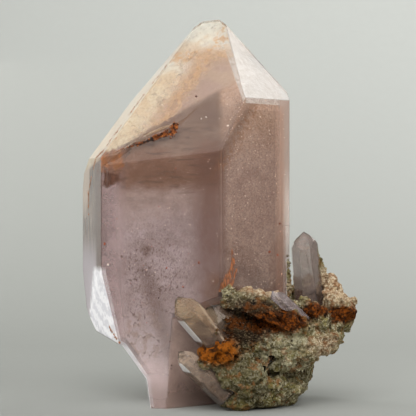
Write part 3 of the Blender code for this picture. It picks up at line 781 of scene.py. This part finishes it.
def veil_finish(name):
    mixed = Recipe(name)
    clouds = mixed.noise(0.35, 5.0)
    mottle = mixed.noise(1.3, 5.0, rough=0.6)
    dust = mixed.rises(mixed.noise(4.2, 3.0), 0.58, 0.68)
    streaks = mixed.rises(mixed.noise(1.6, 4.0, (1, 1, 0.10)), 0.40, 0.62)
    drift = mixed.swing(mottle, 5.0)
    across = past_shoulder(mixed, drift)
    high = mixed.sum("ADD", mixed.z, mixed.both(drift, 0.6))
    margin = mixed.either(mixed.rises(across, -2.6, 2.6), mixed.rises(high, 49.5, 54.0))
    above = mixed.beyond(LEDGE_POINT, LEDGE_NORMAL, -0.2, 0.5)
    below = mixed.sum("SUBTRACT", 1.0, above)
    tip = mixed.both(margin, above)
    arc = mixed.either(
        mixed.band(*shoulder_plane(), -2.4, -1.2, -0.6, 0.4), mixed.span(mixed.z, 50.2, 51.2, 51.8, 53.0)
    )
    cloud_edge = mixed.both(arc, above, mixed.rises(mottle, 0.44, 0.56))
    # The small tip face under the soft box: its milk is painted pale grey-white, as painted reflection that
    # adds to the mirrored lamp.
    triangle = mixed.facing(FRONT_TURN + 60, RHOMB_RISE, 0.93, 0.98)
    broken = broken_foot(mixed, mottle)
    from_middle = mixed.vector("SUBTRACT", mixed.place, RIPPLE_MIDDLE)
    reach = mixed.sum("ADD", mixed.vector("LENGTH", from_middle, (0, 0, 0)), mixed.both(mottle, 4.0))
    ripples = mixed.rises(mixed.sum("SINE", mixed.both(reach, 3.1), 0.0), -0.8, 0.6)
    sides = mixed.both(mixed.facing(0, 10, 0.55, 0.35), mixed.rises(mixed.x, -13.5, -16.5))
    window = mixed.box(*WINDOW, WINDOW_SOFT)
    corner = mixed.box(*CORNER, 0.6)
    corner_rust = mixed.both(corner, mixed.rises(mottle, 0.50, 0.60))

    cream = mixed.layers(
        paint(206, 205, 194),
        (mixed.both(mixed.rises(mixed.z, 51.5, 47.0), 0.75), paint(202, 184, 152)),
        (mixed.both(mixed.rises(clouds, 0.42, 0.58), 0.6), paint(194, 170, 138)),
        (mixed.both(dust, mixed.rises(mottle, 0.44, 0.56), 0.8), paint(150, 112, 74)),
    )
    right_milk = mixed.mix(mixed.rises(mixed.z, 18.0, 32.0), paint(146, 114, 98), paint(184, 154, 136))
    by_left = mixed.rises(mixed.x, -12.6, -15.4)
    colour = mixed.layers(
        growth_zones(mixed, mixed.sum("ADD", mixed.z, drift), mixed.both(body_shade(mixed), 0.7)),
        (mixed.rises(mixed.x, 0.2, 0.6), right_milk),
        (by_left, mixed.mix(body_shade(mixed), paint(140, 119, 117), paint(166, 145, 143))),
        *foot_light_and_shade(mixed),
        (sides, side_milk(mixed, streaks)),
        (above, paint(184, 160, 140)),
        (tip, cream),
        (cloud_edge, mixed.mix(dust, paint(184, 146, 104), paint(122, 74, 38))),
        (triangle, mixed.mix(mixed.rises(mottle, 0.35, 0.65), paint(166, 160, 152), paint(190, 187, 182))),
        (mixed.both(triangle, dust), paint(140, 122, 108)),
        # Painted reflection: the broken facets are painted white with bright ripples.
        (broken, mixed.mix(ripples, paint(226, 226, 230), paint(254, 254, 255))),
        (window, paint(96, 62, 46)),
        (corner, paint(126, 88, 64)),
        (corner_rust, paint(160, 98, 46)),
    )

    edges = mixed.either(mixed.rises(mixed.x, 7.6, 9.2), mixed.rises(mixed.z, 9.0, 3.0))
    under_triangle = mixed.both(mixed.rises(mixed.z, 43.2, 45.0), mixed.rises(mixed.x, 2.6, 3.6), 0.4)
    cover = mixed.both(mixed.rises(mottle, 0.3, 0.8), 0.12)
    for mask, share in (
        (sides, 0.85),
        (mixed.both(by_left, below), 0.66),
        (mixed.either(*foot_facets(mixed)), 0.65),
        (mixed.both(mixed.either(edges, under_triangle), below), 0.62),
        (mixed.both(tip, mixed.rises(mottle, 0.0, 0.55)), 0.68),
        (cloud_edge, 0.55),
        (triangle, 0.75),
        (broken, 1.0),
        (window, 0.7),
        (corner, 0.50),
        (corner_rust, 0.70),
    ):
        cover = mixed.either(cover, mixed.both(mask, share))
    return mixed.set(
        Base_Color=colour,
        Roughness=0.6,
        Specular_IOR_Level=0.1,
        Alpha=mixed.both(cover, VEIL_STRENGTH),
    )


def build_veils():
    core = BVHTree.FromBMesh(solid_of("phantom"))
    for name, share in VEIL_PLACES.items():
        shape = outer_skin()
        for vertex in shape.verts:
            nearest = core.find_nearest(vertex.co)[0]
            vertex.co = vertex.co.lerp(nearest, share)
        veil = new_piece(name, shape, veil_finish(name + "_milk"))
        veil.visible_shadow = False


build_veils()

# %% [markdown]
# ## Small things in and on the crystal
#
# Growth stops leave traces. Rust has settled in the crevice under the ledge as a crust of grains, an iron
# flame stands just behind the right face, and the outer growth is peppered with tiny pale, rusty and dark
# grains. Each kind of grain is one mesh of many small lumps, placed where a line of sight meets the skin.

# %% Grains


def lump_template():
    """The corners and faces of a small ball, from which every grain is bent."""
    ball = bmesh.new()
    bmesh.ops.create_icosphere(ball, subdivisions=1, radius=1.0)
    ball.verts.index_update()
    corners = [vertex.co.copy() for vertex in ball.verts]
    faces = [[vertex.index for vertex in face.verts] for face in ball.faces]
    ball.free()
    return corners, faces


BALL_CORNERS, BALL_FACES = lump_template()


def grains(name, spots, finish, seed, rough=0.35):
    """One mesh of small uneven lumps. Each spot is a place in metres and a radius in millimetres."""
    chance = random.Random(seed)
    corners, faces = [], []
    for place, radius in spots:
        first = len(corners)
        stretch = Vector([radius * MM * chance.uniform(0.6, 1.3) for _ in range(3)])
        axis = Vector([chance.uniform(-1, 1) for _ in range(3)])
        turn = Quaternion(axis, chance.uniform(0, 6.28))
        for corner in BALL_CORNERS:
            corners.append(place + turn @ (corner * stretch * (1.0 + chance.uniform(-rough, rough))))
        faces += [[first + index for index in face] for face in BALL_FACES]
    mesh = bpy.data.meshes.new(name)
    mesh.from_pydata(corners, [], faces)
    mesh.materials.append(finish)
    piece = add_object(name, mesh)
    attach(piece, "root")
    print(name, "has", len(spots), "grains")


def sight_of(tree, x, z):
    """Where a level line of sight at x and z (mm) first meets the surface, or None."""
    return tree.ray_cast(at(x, -60, z), Vector((0, 1, 0)))[0]


def along(points, share):
    """A place on a run of points, by its share of the run."""
    steps = share * (len(points) - 1)
    index = min(int(steps), len(points) - 2)
    first, second = Vector(points[index]), Vector(points[index + 1])
    return first.lerp(second, steps - index)


def plain_grain(name, colour, darker):
    mixed = Recipe(name)
    shade = mixed.rises(mixed.noise(2.3, 3.0), 0.38, 0.62)
    return mixed.set(Base_Color=mixed.mix(shade, darker, colour), Roughness=0.7)


def crust_finish():
    """Rust, with near-black spots painted as the shade of hollows in it."""
    mixed = Recipe("ledge_rust")
    grain = mixed.noise(1.9, 4.0)
    colour = mixed.layers(
        paint(132, 66, 18),
        (mixed.rises(grain, 0.53, 0.62), paint(186, 112, 44)),
        # Painted shade: near-black spots for hollows in the crust.
        (mixed.rises(grain, 0.47, 0.41), paint(34, 18, 8)),
    )
    return mixed.set(Base_Color=colour, Roughness=0.8)


SKIN_TREE = BVHTree.FromBMesh(outer_skin())
LEDGE_RUST = crust_finish()
RUST_GRAIN = plain_grain("rust_grain", paint(150, 66, 28), paint(84, 36, 16))
EDGE_GRAIN = plain_grain("edge_grain", paint(186, 132, 92), paint(132, 82, 48))
FACE_GRAIN = plain_grain("face_grain", paint(218, 198, 180), paint(178, 150, 132))
WHITE_GRAIN = plain_grain("white_grain", paint(244, 236, 226), paint(210, 190, 176))
DARK_GRAIN = plain_grain("dark_grain", paint(88, 56, 44), paint(44, 28, 24))
print("grain finishes ready")

# %% [markdown]
# The rust runs along the crevice (x, z). It is a thread at the left and thickens to a crust at the right.

# %% Rust under the ledge
CREVICE_RUN = [
    (-15.3, 37.0), (-13.6, 37.7), (-11.6, 38.3), (-10.0, 38.9), (-8.6, 39.5), (-7.2, 40.1), (-6.2, 40.8),
]
CREVICE_GRAINS = 900


def build_ledge_rust():
    chance = random.Random(5)
    spots = []
    while len(spots) < CREVICE_GRAINS:
        share = chance.random() ** 0.45
        x, z = along(CREVICE_RUN, share)
        thickness = 0.04 + 0.80 * share ** 1.8
        thickness *= 0.45 + 1.5 * abs(noise.noise(Vector((x * 0.8, 3.0, 0.0))))
        x += chance.uniform(-0.2, 0.2)
        z += chance.gauss(-0.1, 0.6) * thickness
        place = sight_of(SKIN_TREE, x, z)
        if place is not None and noise.noise(Vector((x * 1.3, 8.0, z * 1.3))) > -0.28:
            size = chance.uniform(0.05, 0.10) + 0.10 * share * chance.random()
            spots.append((place - Vector((0, 0.03 * MM, 0)), size))
    grains("ledge_rust", spots, LEDGE_RUST, 6, 0.5)


build_ledge_rust()

# %% [markdown]
# Most grains are scattered by chance over a zone. The ones that stand out are placed one by one.

# %% Grains in the outer growth
# Name, finish, count, range of x, range of z, range of radii and seed.
GRAIN_ZONES = [
    ("right_face_grains", FACE_GRAIN, 330, (0.8, 9.9), (16.5, 45.0), (0.035, 0.11), 11),
    ("front_face_grains", FACE_GRAIN, 170, (-16.5, 0.2), (4.0, 44.0), (0.03, 0.08), 12),
    ("rusty_grains", RUST_GRAIN, 150, (-16.0, 9.9), (6.0, 46.0), (0.035, 0.085), 13),
    ("dark_grains", DARK_GRAIN, 130, (-17.0, 9.9), (4.0, 45.0), (0.03, 0.08), 14),
]
# Finish, places (x, z) and radius.
SINGLE_GRAINS = {
    "single_rust": (
        RUST_GRAIN,
        [
            (-16.7, 23.7), (-2.9, 21.1), (-7.6, 20.3), (-5.2, 17.6),
            (8.9, 26.7), (7.3, 22.5), (8.6, 22.0), (-3.4, 45.3),
        ],
        0.18,
    ),
    "foot_rust": (
        EDGE_GRAIN,
        [
            (-16.0, 11.5), (-15.8, 11.1), (-15.6, 10.9), (-15.3, 10.5),
            (-15.1, 10.2), (-14.9, 10.0), (-14.5, 9.4),
        ],
        0.2,
    ),
    "single_dark": (DARK_GRAIN, [(-14.2, 21.9), (-8.7, 16.0), (-7.0, 5.8), (-6.9, 6.3)], 0.15),
    "single_white": (
        WHITE_GRAIN,
        [(-16.2, 20.7), (-8.3, 44.0), (-2.6, 41.9), (-1.9, 42.1), (1.2, 40.8)],
        0.15,
    ),
}


def build_inner_grains():
    for name, finish, count, x_range, z_range, radii, seed in GRAIN_ZONES:
        chance = random.Random(seed)
        spots = []
        while len(spots) < count:
            place = sight_of(SKIN_TREE, chance.uniform(*x_range), chance.uniform(*z_range))
            if place is not None:
                depth = Vector((0, chance.uniform(0.04, 0.5) * MM, 0))
                spots.append((place + depth, chance.uniform(*radii)))
        grains(name, spots, finish, seed)
    for name, (finish, places, radius) in SINGLE_GRAINS.items():
        spots = [
            (sight_of(SKIN_TREE, x, z) + Vector((0, 0.1 * MM, 0)), radius) for x, z in places
        ]
        grains(name, spots, finish, 15, 0.5)


build_inner_grains()

# %% [markdown]
# A thin broken line of rust follows the left outline (x, z) just under the skin.

# %% Rust along the left outline
EDGE_LINE = [
    (-7.7, 50.6), (-10.3, 47.1), (-12.9, 43.5), (-15.0, 40.5), (-17.0, 37.4), (-18.15, 36.35),
    (-18.9, 34.4), (-19.4, 32.4), (-19.7, 31.3), (-19.7, 29.6), (-19.7, 27.9),
]
EDGE_LINE_TRIES = 520


def build_edge_line():
    chance = random.Random(17)
    spots = []
    for _ in range(EDGE_LINE_TRIES):
        share = chance.random()
        x, z = along(EDGE_LINE, share)
        place = sight_of(SKIN_TREE, x + chance.gauss(0, 0.05), z + chance.gauss(0, 0.05))
        if place is not None and noise.noise(Vector((share * 14, 2.0, 5.0))) > -0.2:
            spots.append((place + Vector((0, 0.06 * MM, 0)), chance.uniform(0.04, 0.10)))
    grains("edge_line_rust", spots, EDGE_GRAIN, 18)


build_edge_line()

# %% [markdown]
# The flame is a leaf of iron stain with three tongues, each a ribbon that narrows to a tip.

# %% The iron flame
# The middle line of each tongue from its foot (x, z) and its width at the foot, in millimetres.
FLAME_TONGUES = [
    ([(0.55, 17.0), (1.25, 19.0), (1.90, 20.8), (1.75, 23.2)], 1.15),
    ([(1.35, 17.0), (1.95, 18.8), (2.55, 20.7)], 0.75),
    ([(0.15, 17.0), (0.50, 18.4), (1.10, 19.9)], 0.55),
]
FLAME_DEPTH = 0.12
FLAME_STEPS = 14


def flame_finish():
    mixed = Recipe("iron_flame")
    streak = mixed.rises(mixed.noise(2.2, 4.0, (1.6, 1, 0.5)), 0.36, 0.6)
    colour = mixed.mix(streak, paint(184, 108, 46), paint(122, 66, 26))
    fade = mixed.rises(mixed.noise(3.0, 3.0, (1.4, 1, 0.4)), 0.30, 0.48)
    return mixed.set(Base_Color=colour, Roughness=0.6, Alpha=mixed.both(fade, 0.9))


def build_flame():
    shape = bmesh.new()
    for run, width in FLAME_TONGUES:
        rows = []
        for step in range(FLAME_STEPS + 1):
            share = step / FLAME_STEPS
            middle = along(run, share)
            ragged = 1 + 0.35 * noise.noise(Vector((share * 5, width * 9, 0)))
            half = width / 2 * (1 - share) ** 0.6 * ragged
            sway = 0.12 * noise.noise(Vector((share * 3, 7.0, width * 5)))
            row = []
            for side in (-half, half):
                place = sight_of(SKIN_TREE, middle.x + side + sway, middle.y)
                row.append(shape.verts.new(place + Vector((0, FLAME_DEPTH * MM, 0))))
            rows.append(row)
        for (a, b), (c, d) in zip(rows, rows[1:]):
            shape.faces.new((a, b, d, c))
    new_piece("iron_flame", shape, flame_finish())


build_flame()

# %% [markdown]
# ## The rock
#
# The matrix is crumbly: pale green druse with rusty crusts on its ledges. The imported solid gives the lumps.
# Its copy is remeshed into an even skin of small faces, and noise pushes them in and out: a coarse one for
# knobs, a cell pattern for angular lumps, and a fine one for crumbs. Rust, dark, pale and beige patches lie
# where the photograph has them.

# %% Rock finish
# Middle and half size of each patch, in millimetres.
RUST_PATCHES = [
    ((8.6, 0.0, 12.8), (4.7, 5.0, 1.7)),
    ((13.9, 2.4, 14.3), (2.2, 5.0, 1.3)),
    ((17.9, 8.5, 13.4), (3.3, 6.0, 1.5)),
    ((-0.5, -2.0, 8.7), (3.6, 4.0, 2.1)),
    ((6.0, 20.0, 9.0), (6.0, 4.0, 2.5)),
    ((14.0, 16.0, 11.0), (4.0, 4.0, 2.5)),
]
DARK_PATCHES = [
    ((3.9, 0.5, 14.1), (5.6, 5.0, 2.4)),
    ((3.4, -1.0, 11.5), (4.2, 4.0, 2.2)),
]
# The first pale patch is the stone's own colour; the second is painted light, lifting stone that lies in
# shade.
PALE_AND_LIT_PATCHES = [
    ((11.0, 0.5, 9.8), (2.3, 6.0, 1.8)),
    ((8.8, -0.6, 7.0), (3.2, 6.0, 2.0)),
]
SHADED_FOOT = ((2.2, 0.0, 4.2), (4.6, 9.0, 4.8))
RUST_SEAT = ((-0.6, -2.0, 8.6), (3.6, 4.0, 2.2))
BEIGE_PATCHES = [
    ((17.5, 10.0, 17.0), (4.5, 7.0, 3.2)),
    ((13.5, 6.0, 9.2), (4.0, 6.0, 2.0)),
    ((8.3, 4.0, 17.5), (6.4, 6.0, 1.6)),
]


def patches(mixed, rows, soft):
    """A mask of all the patches in a list, with ragged edges."""
    return mixed.either(*[mixed.blob(*row, soft, 1.8) for row in rows])


def rock_finish():
    mixed = Recipe("rusty_rock")
    coarse = mixed.noise(0.45, 5.0)
    grain = mixed.noise(2.0, 6.0, rough=0.7)
    fine = mixed.noise(6.5, 4.0, rough=0.65)
    chips = mixed.cells(2.3, "Color")
    bits = mixed.cells(4.6, "Color")
    # Painted shade: dark spots stand for the shade in hollows.
    hollow_shade = mixed.rises(mixed.noise(1.2, 6.0, rough=0.7), 0.45, 0.38)
    lumps = mixed.noise(0.9, 5.0, rough=0.6)
    stone = mixed.layers(
        paint(100, 90, 58),
        (mixed.rises(lumps, 0.44, 0.60), paint(150, 141, 106)),
        (mixed.both(mixed.rises(chips, 0.42, 0.62), 0.45), paint(176, 165, 134)),
        (mixed.both(mixed.rises(coarse, 0.50, 0.60), 0.7), paint(126, 116, 62)),
        (mixed.both(mixed.rises(fine, 0.52, 0.66), 0.45), paint(78, 68, 42)),
        (mixed.both(mixed.rises(bits, 0.40, 0.32), 0.35), paint(70, 60, 38)),
        (mixed.both(mixed.rises(bits, 0.67, 0.73), 0.42), paint(214, 206, 180)),
        (hollow_shade, paint(44, 35, 22)),
    )
    beige = mixed.layers(
        paint(154, 128, 99),
        (mixed.rises(chips, 0.45, 0.62), paint(190, 168, 137)),
        (mixed.rises(bits, 0.60, 0.70), paint(211, 194, 166)),
        (mixed.rises(fine, 0.54, 0.66), paint(130, 92, 58)),
        (mixed.both(hollow_shade, 0.6), paint(96, 60, 32)),
    )
    dark = mixed.layers(
        paint(54, 41, 29),
        (mixed.rises(chips, 0.56, 0.70), paint(64, 50, 34)),
        (mixed.both(mixed.rises(bits, 0.71, 0.78), 0.55), paint(132, 114, 88)),
        (mixed.rises(coarse, 0.50, 0.60), paint(92, 50, 18)),
        (hollow_shade, paint(16, 11, 7)),
    )
    rust = mixed.layers(
        paint(114, 57, 9),
        (mixed.rises(grain, 0.44, 0.54), paint(64, 30, 6)),
        (mixed.both(mixed.rises(bits, 0.64, 0.72), 0.6), paint(134, 72, 20)),
        (mixed.both(mixed.blob(*RUST_SEAT, 0.3), 0.45), paint(178, 100, 20)),
        (mixed.both(mixed.rises(lumps, 0.50, 0.42), 0.8), paint(44, 22, 6)),
        (hollow_shade, paint(18, 10, 4)),
    )
    stain = mixed.both(mixed.rises(mixed.noise(0.8, 4.0), 0.52, 0.66), 0.55)
    flakes = mixed.rises(mixed.noise(1.3, 5.0, (1, 1, 0.6), rough=0.6), 0.40, 0.56)
    colour = mixed.layers(
        stone,
        (mixed.both(mixed.blob(*SHADED_FOOT, 0.5, 1.5), 0.6), paint(56, 50, 26)),
        (mixed.both(patches(mixed, PALE_AND_LIT_PATCHES, 0.4), flakes, 0.5), paint(202, 195, 164)),
        (patches(mixed, BEIGE_PATCHES, 0.35), beige),
        (stain, paint(140, 88, 46)),
        (patches(mixed, DARK_PATCHES, 0.35), dark),
        (patches(mixed, RUST_PATCHES, 0.3), rust),
    )
    angular = mixed.sum("SUBTRACT", 1.0, mixed.cells(2.3))
    normal = mixed.relief(angular, 0.14, mixed.relief(grain, 0.08, mixed.relief(fine, 0.04)))
    return mixed.set(Base_Color=colour, Roughness=0.85, Specular_IOR_Level=0.12, Normal=normal)


ROCK = rock_finish()
print("rock finish ready")

# %% [markdown]
# The rock's skin is pushed in and out by a millimetre or so. The part that rests on the table stays flat.

# %% Rock shape
ROCK_VOXEL = 0.25
# How strongly each kind of noise moves the skin, in millimetres, and how far it sinks in all.
KNOBS, LUMPS, CRUMBS, PITS, SINK = 0.5, 0.85, 0.20, 1.8, 0.06
REST_HEIGHT = 0.5
LOWEST = 0.1


def crumble(point):
    """How far a point of the rock's skin moves out, in millimetres."""
    here = point / MM
    knobs = noise.noise(here * 0.38)
    distances, _ = noise.voronoi(here * 0.72)
    lumps = 0.5 - distances[0]
    crumbs = noise.noise(here * 2.3)
    pits = max(0.0, noise.noise(here * 0.8 + Vector((9, 4, 2))) - 0.22)
    return KNOBS * knobs + LUMPS * lumps + CRUMBS * crumbs - PITS * pits - SINK


def build_rock():
    piece = new_piece("matrix_rock", copy_of("matrix"), ROCK)
    remesh = piece.modifiers.new("even skin", "REMESH")
    remesh.mode = "VOXEL"
    remesh.voxel_size = ROCK_VOXEL * MM
    graph = bpy.context.evaluated_depsgraph_get()
    mesh = bpy.data.meshes.new_from_object(piece.evaluated_get(graph))
    piece.modifiers.clear()
    piece.data = mesh
    mesh.materials.clear()
    mesh.materials.append(ROCK)
    shape = bmesh.new()
    shape.from_mesh(mesh)
    shape.normal_update()
    for vertex in shape.verts:
        if vertex.co.z > REST_HEIGHT * MM:
            vertex.co += vertex.normal * crumble(vertex.co) * MM
            vertex.co.z = max(vertex.co.z, LOWEST * MM)
    shape.to_mesh(mesh)
    shape.free()
    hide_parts("matrix")
    print("matrix_rock now has", len(mesh.polygons), "faces")
    return piece


MATRIX_ROCK = build_rock()

# %% [markdown]
# Loose grains lie on the rock, finer where it is rusty. Druse creeps from it over the second front crystal,
# and wedges of crust stand on both sides of the rear point.

# %% Loose grains and druse
CRUMB_COUNT = 3400
CRUMB_RADII = (0.05, 0.20)
FOOT_DRUSE_X = (-0.6, 7.0)
FOOT_DRUSE_Z = (6.5, 15.8)
FOOT_DRUSE_GRAINS = 1700
# The three corners (x, y, z) of each wedge of crust beside the rear point, and its count of grains.
REAR_CRUSTS = [
    (((10.05, 9.6, 15.0), (10.15, 9.7, 23.4), (10.9, 10.0, 15.0)), 150),
    (((14.2, 9.2, 23.6), (16.4, 9.0, 18.2), (14.4, 9.4, 17.2)), 420),
]


def in_rust(place):
    """Whether a place in metres lies in one of the rust patches."""
    here = (Vector(place) - DATUM) / MM
    for middle, half in RUST_PATCHES:
        offset = here - Vector(middle)
        if sum((part / reach) ** 2 for part, reach in zip(offset, half)) < 1.2:
            return True
    return False


def build_crumbs(rock):
    """Loose grains and druse on the rock, in its own finish so that they take its colours."""
    chance = random.Random(21)
    faces = rock.data.polygons
    spots = []
    while len(spots) < CRUMB_COUNT:
        face = faces[chance.randrange(len(faces))]
        radius = chance.uniform(*CRUMB_RADII) * chance.uniform(0.5, 1.0)
        if in_rust(face.center):
            radius *= 0.5
        if face.center.z > 1.0 * MM:
            spots.append((Vector(face.center) + Vector(face.normal) * radius * 0.3 * MM, radius))
    grains("rock_crumbs", spots, ROCK, 22)


def build_foot_druse():
    """Druse on the second front crystal, thinner towards the left."""
    chance = random.Random(41)
    tree = BVHTree.FromBMesh(copy_of("front_side_crystals"))
    spots = []
    while len(spots) < FOOT_DRUSE_GRAINS:
        x, z = chance.uniform(*FOOT_DRUSE_X), chance.uniform(*FOOT_DRUSE_Z)
        place = sight_of(tree, x, z)
        patchy = 1.8 * noise.noise(Vector((x * 0.9, 4.0, z * 0.9)))
        growth = patchy + 0.9 * (x - FOOT_DRUSE_X[0] - 1.2)
        if place is not None and growth > chance.uniform(0.0, 0.8):
            spots.append((place, chance.uniform(0.08, 0.26)))
    grains("foot_druse", spots, ROCK, 42, 0.5)


def build_rear_crusts():
    chance = random.Random(31)
    spots = []
    for corners, count in REAR_CRUSTS:
        for _ in range(count):
            shares = [chance.random() for _ in corners]
            middle = Vector((0, 0, 0))
            for corner, share in zip(corners, shares):
                middle += Vector(corner) * (share / sum(shares))
            spots.append((at(*middle), chance.uniform(0.10, 0.30)))
    grains("rear_crusts", spots, ROCK, 32)


build_crumbs(MATRIX_ROCK)
build_foot_druse()
build_rear_crusts()

# %% [markdown]
# ## The small points
#
# The small points are smoky quartz, milky inside. Like the big one, each has a clear skin with worn edges
# and a milky body just under it, cream near the tip and brown towards the rock. A thin pale seam divides the
# two front points, which are one solid, and the second is darker.

# %% Smoky and lilac quartz


def clear_quartz(name, absorbed, density, tint):
    mixed = Recipe(name)
    ripples = mixed.noise(1.6, 3.0)
    mixed.set(
        Base_Color=tint,
        Roughness=0.06,
        IOR=QUARTZ_IOR,
        Transmission_Weight=1.0,
        Normal=mixed.relief(ripples, 0.02),
    )
    return mixed.absorb(absorbed, density)


def milk(name, low, high, span, cover, facets=(), seam=None):
    """The milky inside of a small point: colours by height, mottled, with some facets painted lighter or
    darker by the way they face, as painted light and shade.

    Each facet is a direction, a band of heights in millimetres, a colour of painted light or shade and how
    much it covers.
    A seam is a point and a normal; beyond it lies a second point with a colour and a share of its own.
    """
    mixed = Recipe(name)
    mottle = mixed.noise(0.9, 5.0, rough=0.6)
    wisps = mixed.noise(0.6, 5.0, (1, 1, 2.0), rough=0.65)
    fine = mixed.noise(4.0, 3.0)
    height = mixed.sum("ADD", mixed.z, mixed.swing(mottle, 6.0))
    colour = mixed.mix(mixed.rises(height, *span), low, high)
    colour = mixed.layers(
        colour,
        (mixed.both(mixed.rises(wisps, 0.48, 0.72), 0.55), high),
        (mixed.both(mixed.rises(wisps, 0.50, 0.28), 0.55), low),
        (mixed.both(mixed.rises(fine, 0.58, 0.7), 0.18), paint(110, 82, 60)),
    )
    if seam is not None:
        point, normal, second, share = seam
        colour = mixed.mix(mixed.both(mixed.beyond(point, normal, -0.1, 0.3), share), colour, second)
        edge = mixed.both(mixed.band(point, normal, -0.45, -0.25, -0.15, 0.0), 0.6)
        colour = mixed.mix(edge, colour, paint(214, 196, 172))
    alpha = mixed.both(mixed.rises(wisps, 0.15, 0.60), cover)
    # Painted light and shade: facets are painted lighter or darker by the way they face.
    for azimuth, rise, bottom, top, painted_facet_colour, share in facets:
        mask = mixed.both(
            mixed.facing(azimuth, rise, 0.94, 0.98),
            mixed.rises(mixed.z, bottom - FACET_SOFT, bottom + FACET_SOFT),
            mixed.rises(mixed.z, top + FACET_SOFT, top - FACET_SOFT),
            share,
        )
        colour = mixed.mix(mask, colour, painted_facet_colour)
        alpha = mixed.either(alpha, mask)
    return mixed.set(Base_Color=colour, Roughness=0.6, Specular_IOR_Level=0.1, Alpha=alpha)


FACET_SOFT = 0.2
# Painted reflection: the white bars on facets that face down to the left.
WHITE_BAR_REFLECTION = paint(250, 252, 252)
SMOKY = clear_quartz("smoky_quartz", (0.80, 0.72, 0.64, 1.0), 30.0, (0.99, 0.97, 0.95, 1.0))
LILAC = clear_quartz("lilac_quartz", (0.86, 0.80, 0.84, 1.0), 30.0, (0.98, 0.95, 0.97, 1.0))
FRONT_FACET_LIGHT = [
    (-69, -40, 9.9, 13.0, WHITE_BAR_REFLECTION, 1.0),
    (5, 52, 10.0, 20.0, paint(104, 82, 66), 0.6),
    (-31, 15, 10.0, 20.0, paint(160, 142, 118), 0.5),
]
FRONT_SEAM = ((-1.79, 0.0, 14.0), (0.828, 0.0, 0.561), paint(88, 64, 50), 0.6)
FRONT_MILK = milk(
    "front_milk", paint(86, 58, 40), paint(172, 146, 118), (9.0, 15.5), 0.58, FRONT_FACET_LIGHT, FRONT_SEAM
)
LOWER_FACET_LIGHT = [(-60, -43, 5.6, 8.3, WHITE_BAR_REFLECTION, 1.0)]
LOWER_MILK = milk("lower_milk", paint(108, 84, 68), paint(176, 156, 138), (2.0, 8.0), 0.6, LOWER_FACET_LIGHT)
REAR_FACET_LIGHT = [(-61, -4, 17.0, 27.0, paint(178, 170, 164), 0.55)]
REAR_MILK = milk("rear_milk", paint(88, 68, 60), paint(138, 121, 112), (13.0, 24.0), 0.62, REAR_FACET_LIGHT)
BLADE_MILK = milk("blade_milk", paint(128, 112, 108), paint(176, 164, 162), (12.0, 18.0), 0.5)
MILK_DEPTH = 0.16
POINT_WEAR = 0.09

# Node, clear finish, milky finish and slot.
SMALL_POINTS = [
    ("front_side_crystals", SMOKY, FRONT_MILK, "smoky_quartz"),
    ("lower_side_crystal", SMOKY, LOWER_MILK, "smoky_quartz"),
    ("rear_side_crystal", SMOKY, REAR_MILK, "smoky_quartz"),
    ("blade_crystal", LILAC, BLADE_MILK, "lilac_quartz"),
]


def build_small_points():
    for node, skin_finish, milk_finish, slot in SMALL_POINTS:
        skin = new_piece(node + "_clear", copy_of(node), skin_finish)
        soften_edges(skin, POINT_WEAR)
        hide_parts(node)
        skin.visible_shadow = False
        new_piece(node + "_milk", shrink(copy_of(node), MILK_DEPTH), milk_finish)


build_small_points()
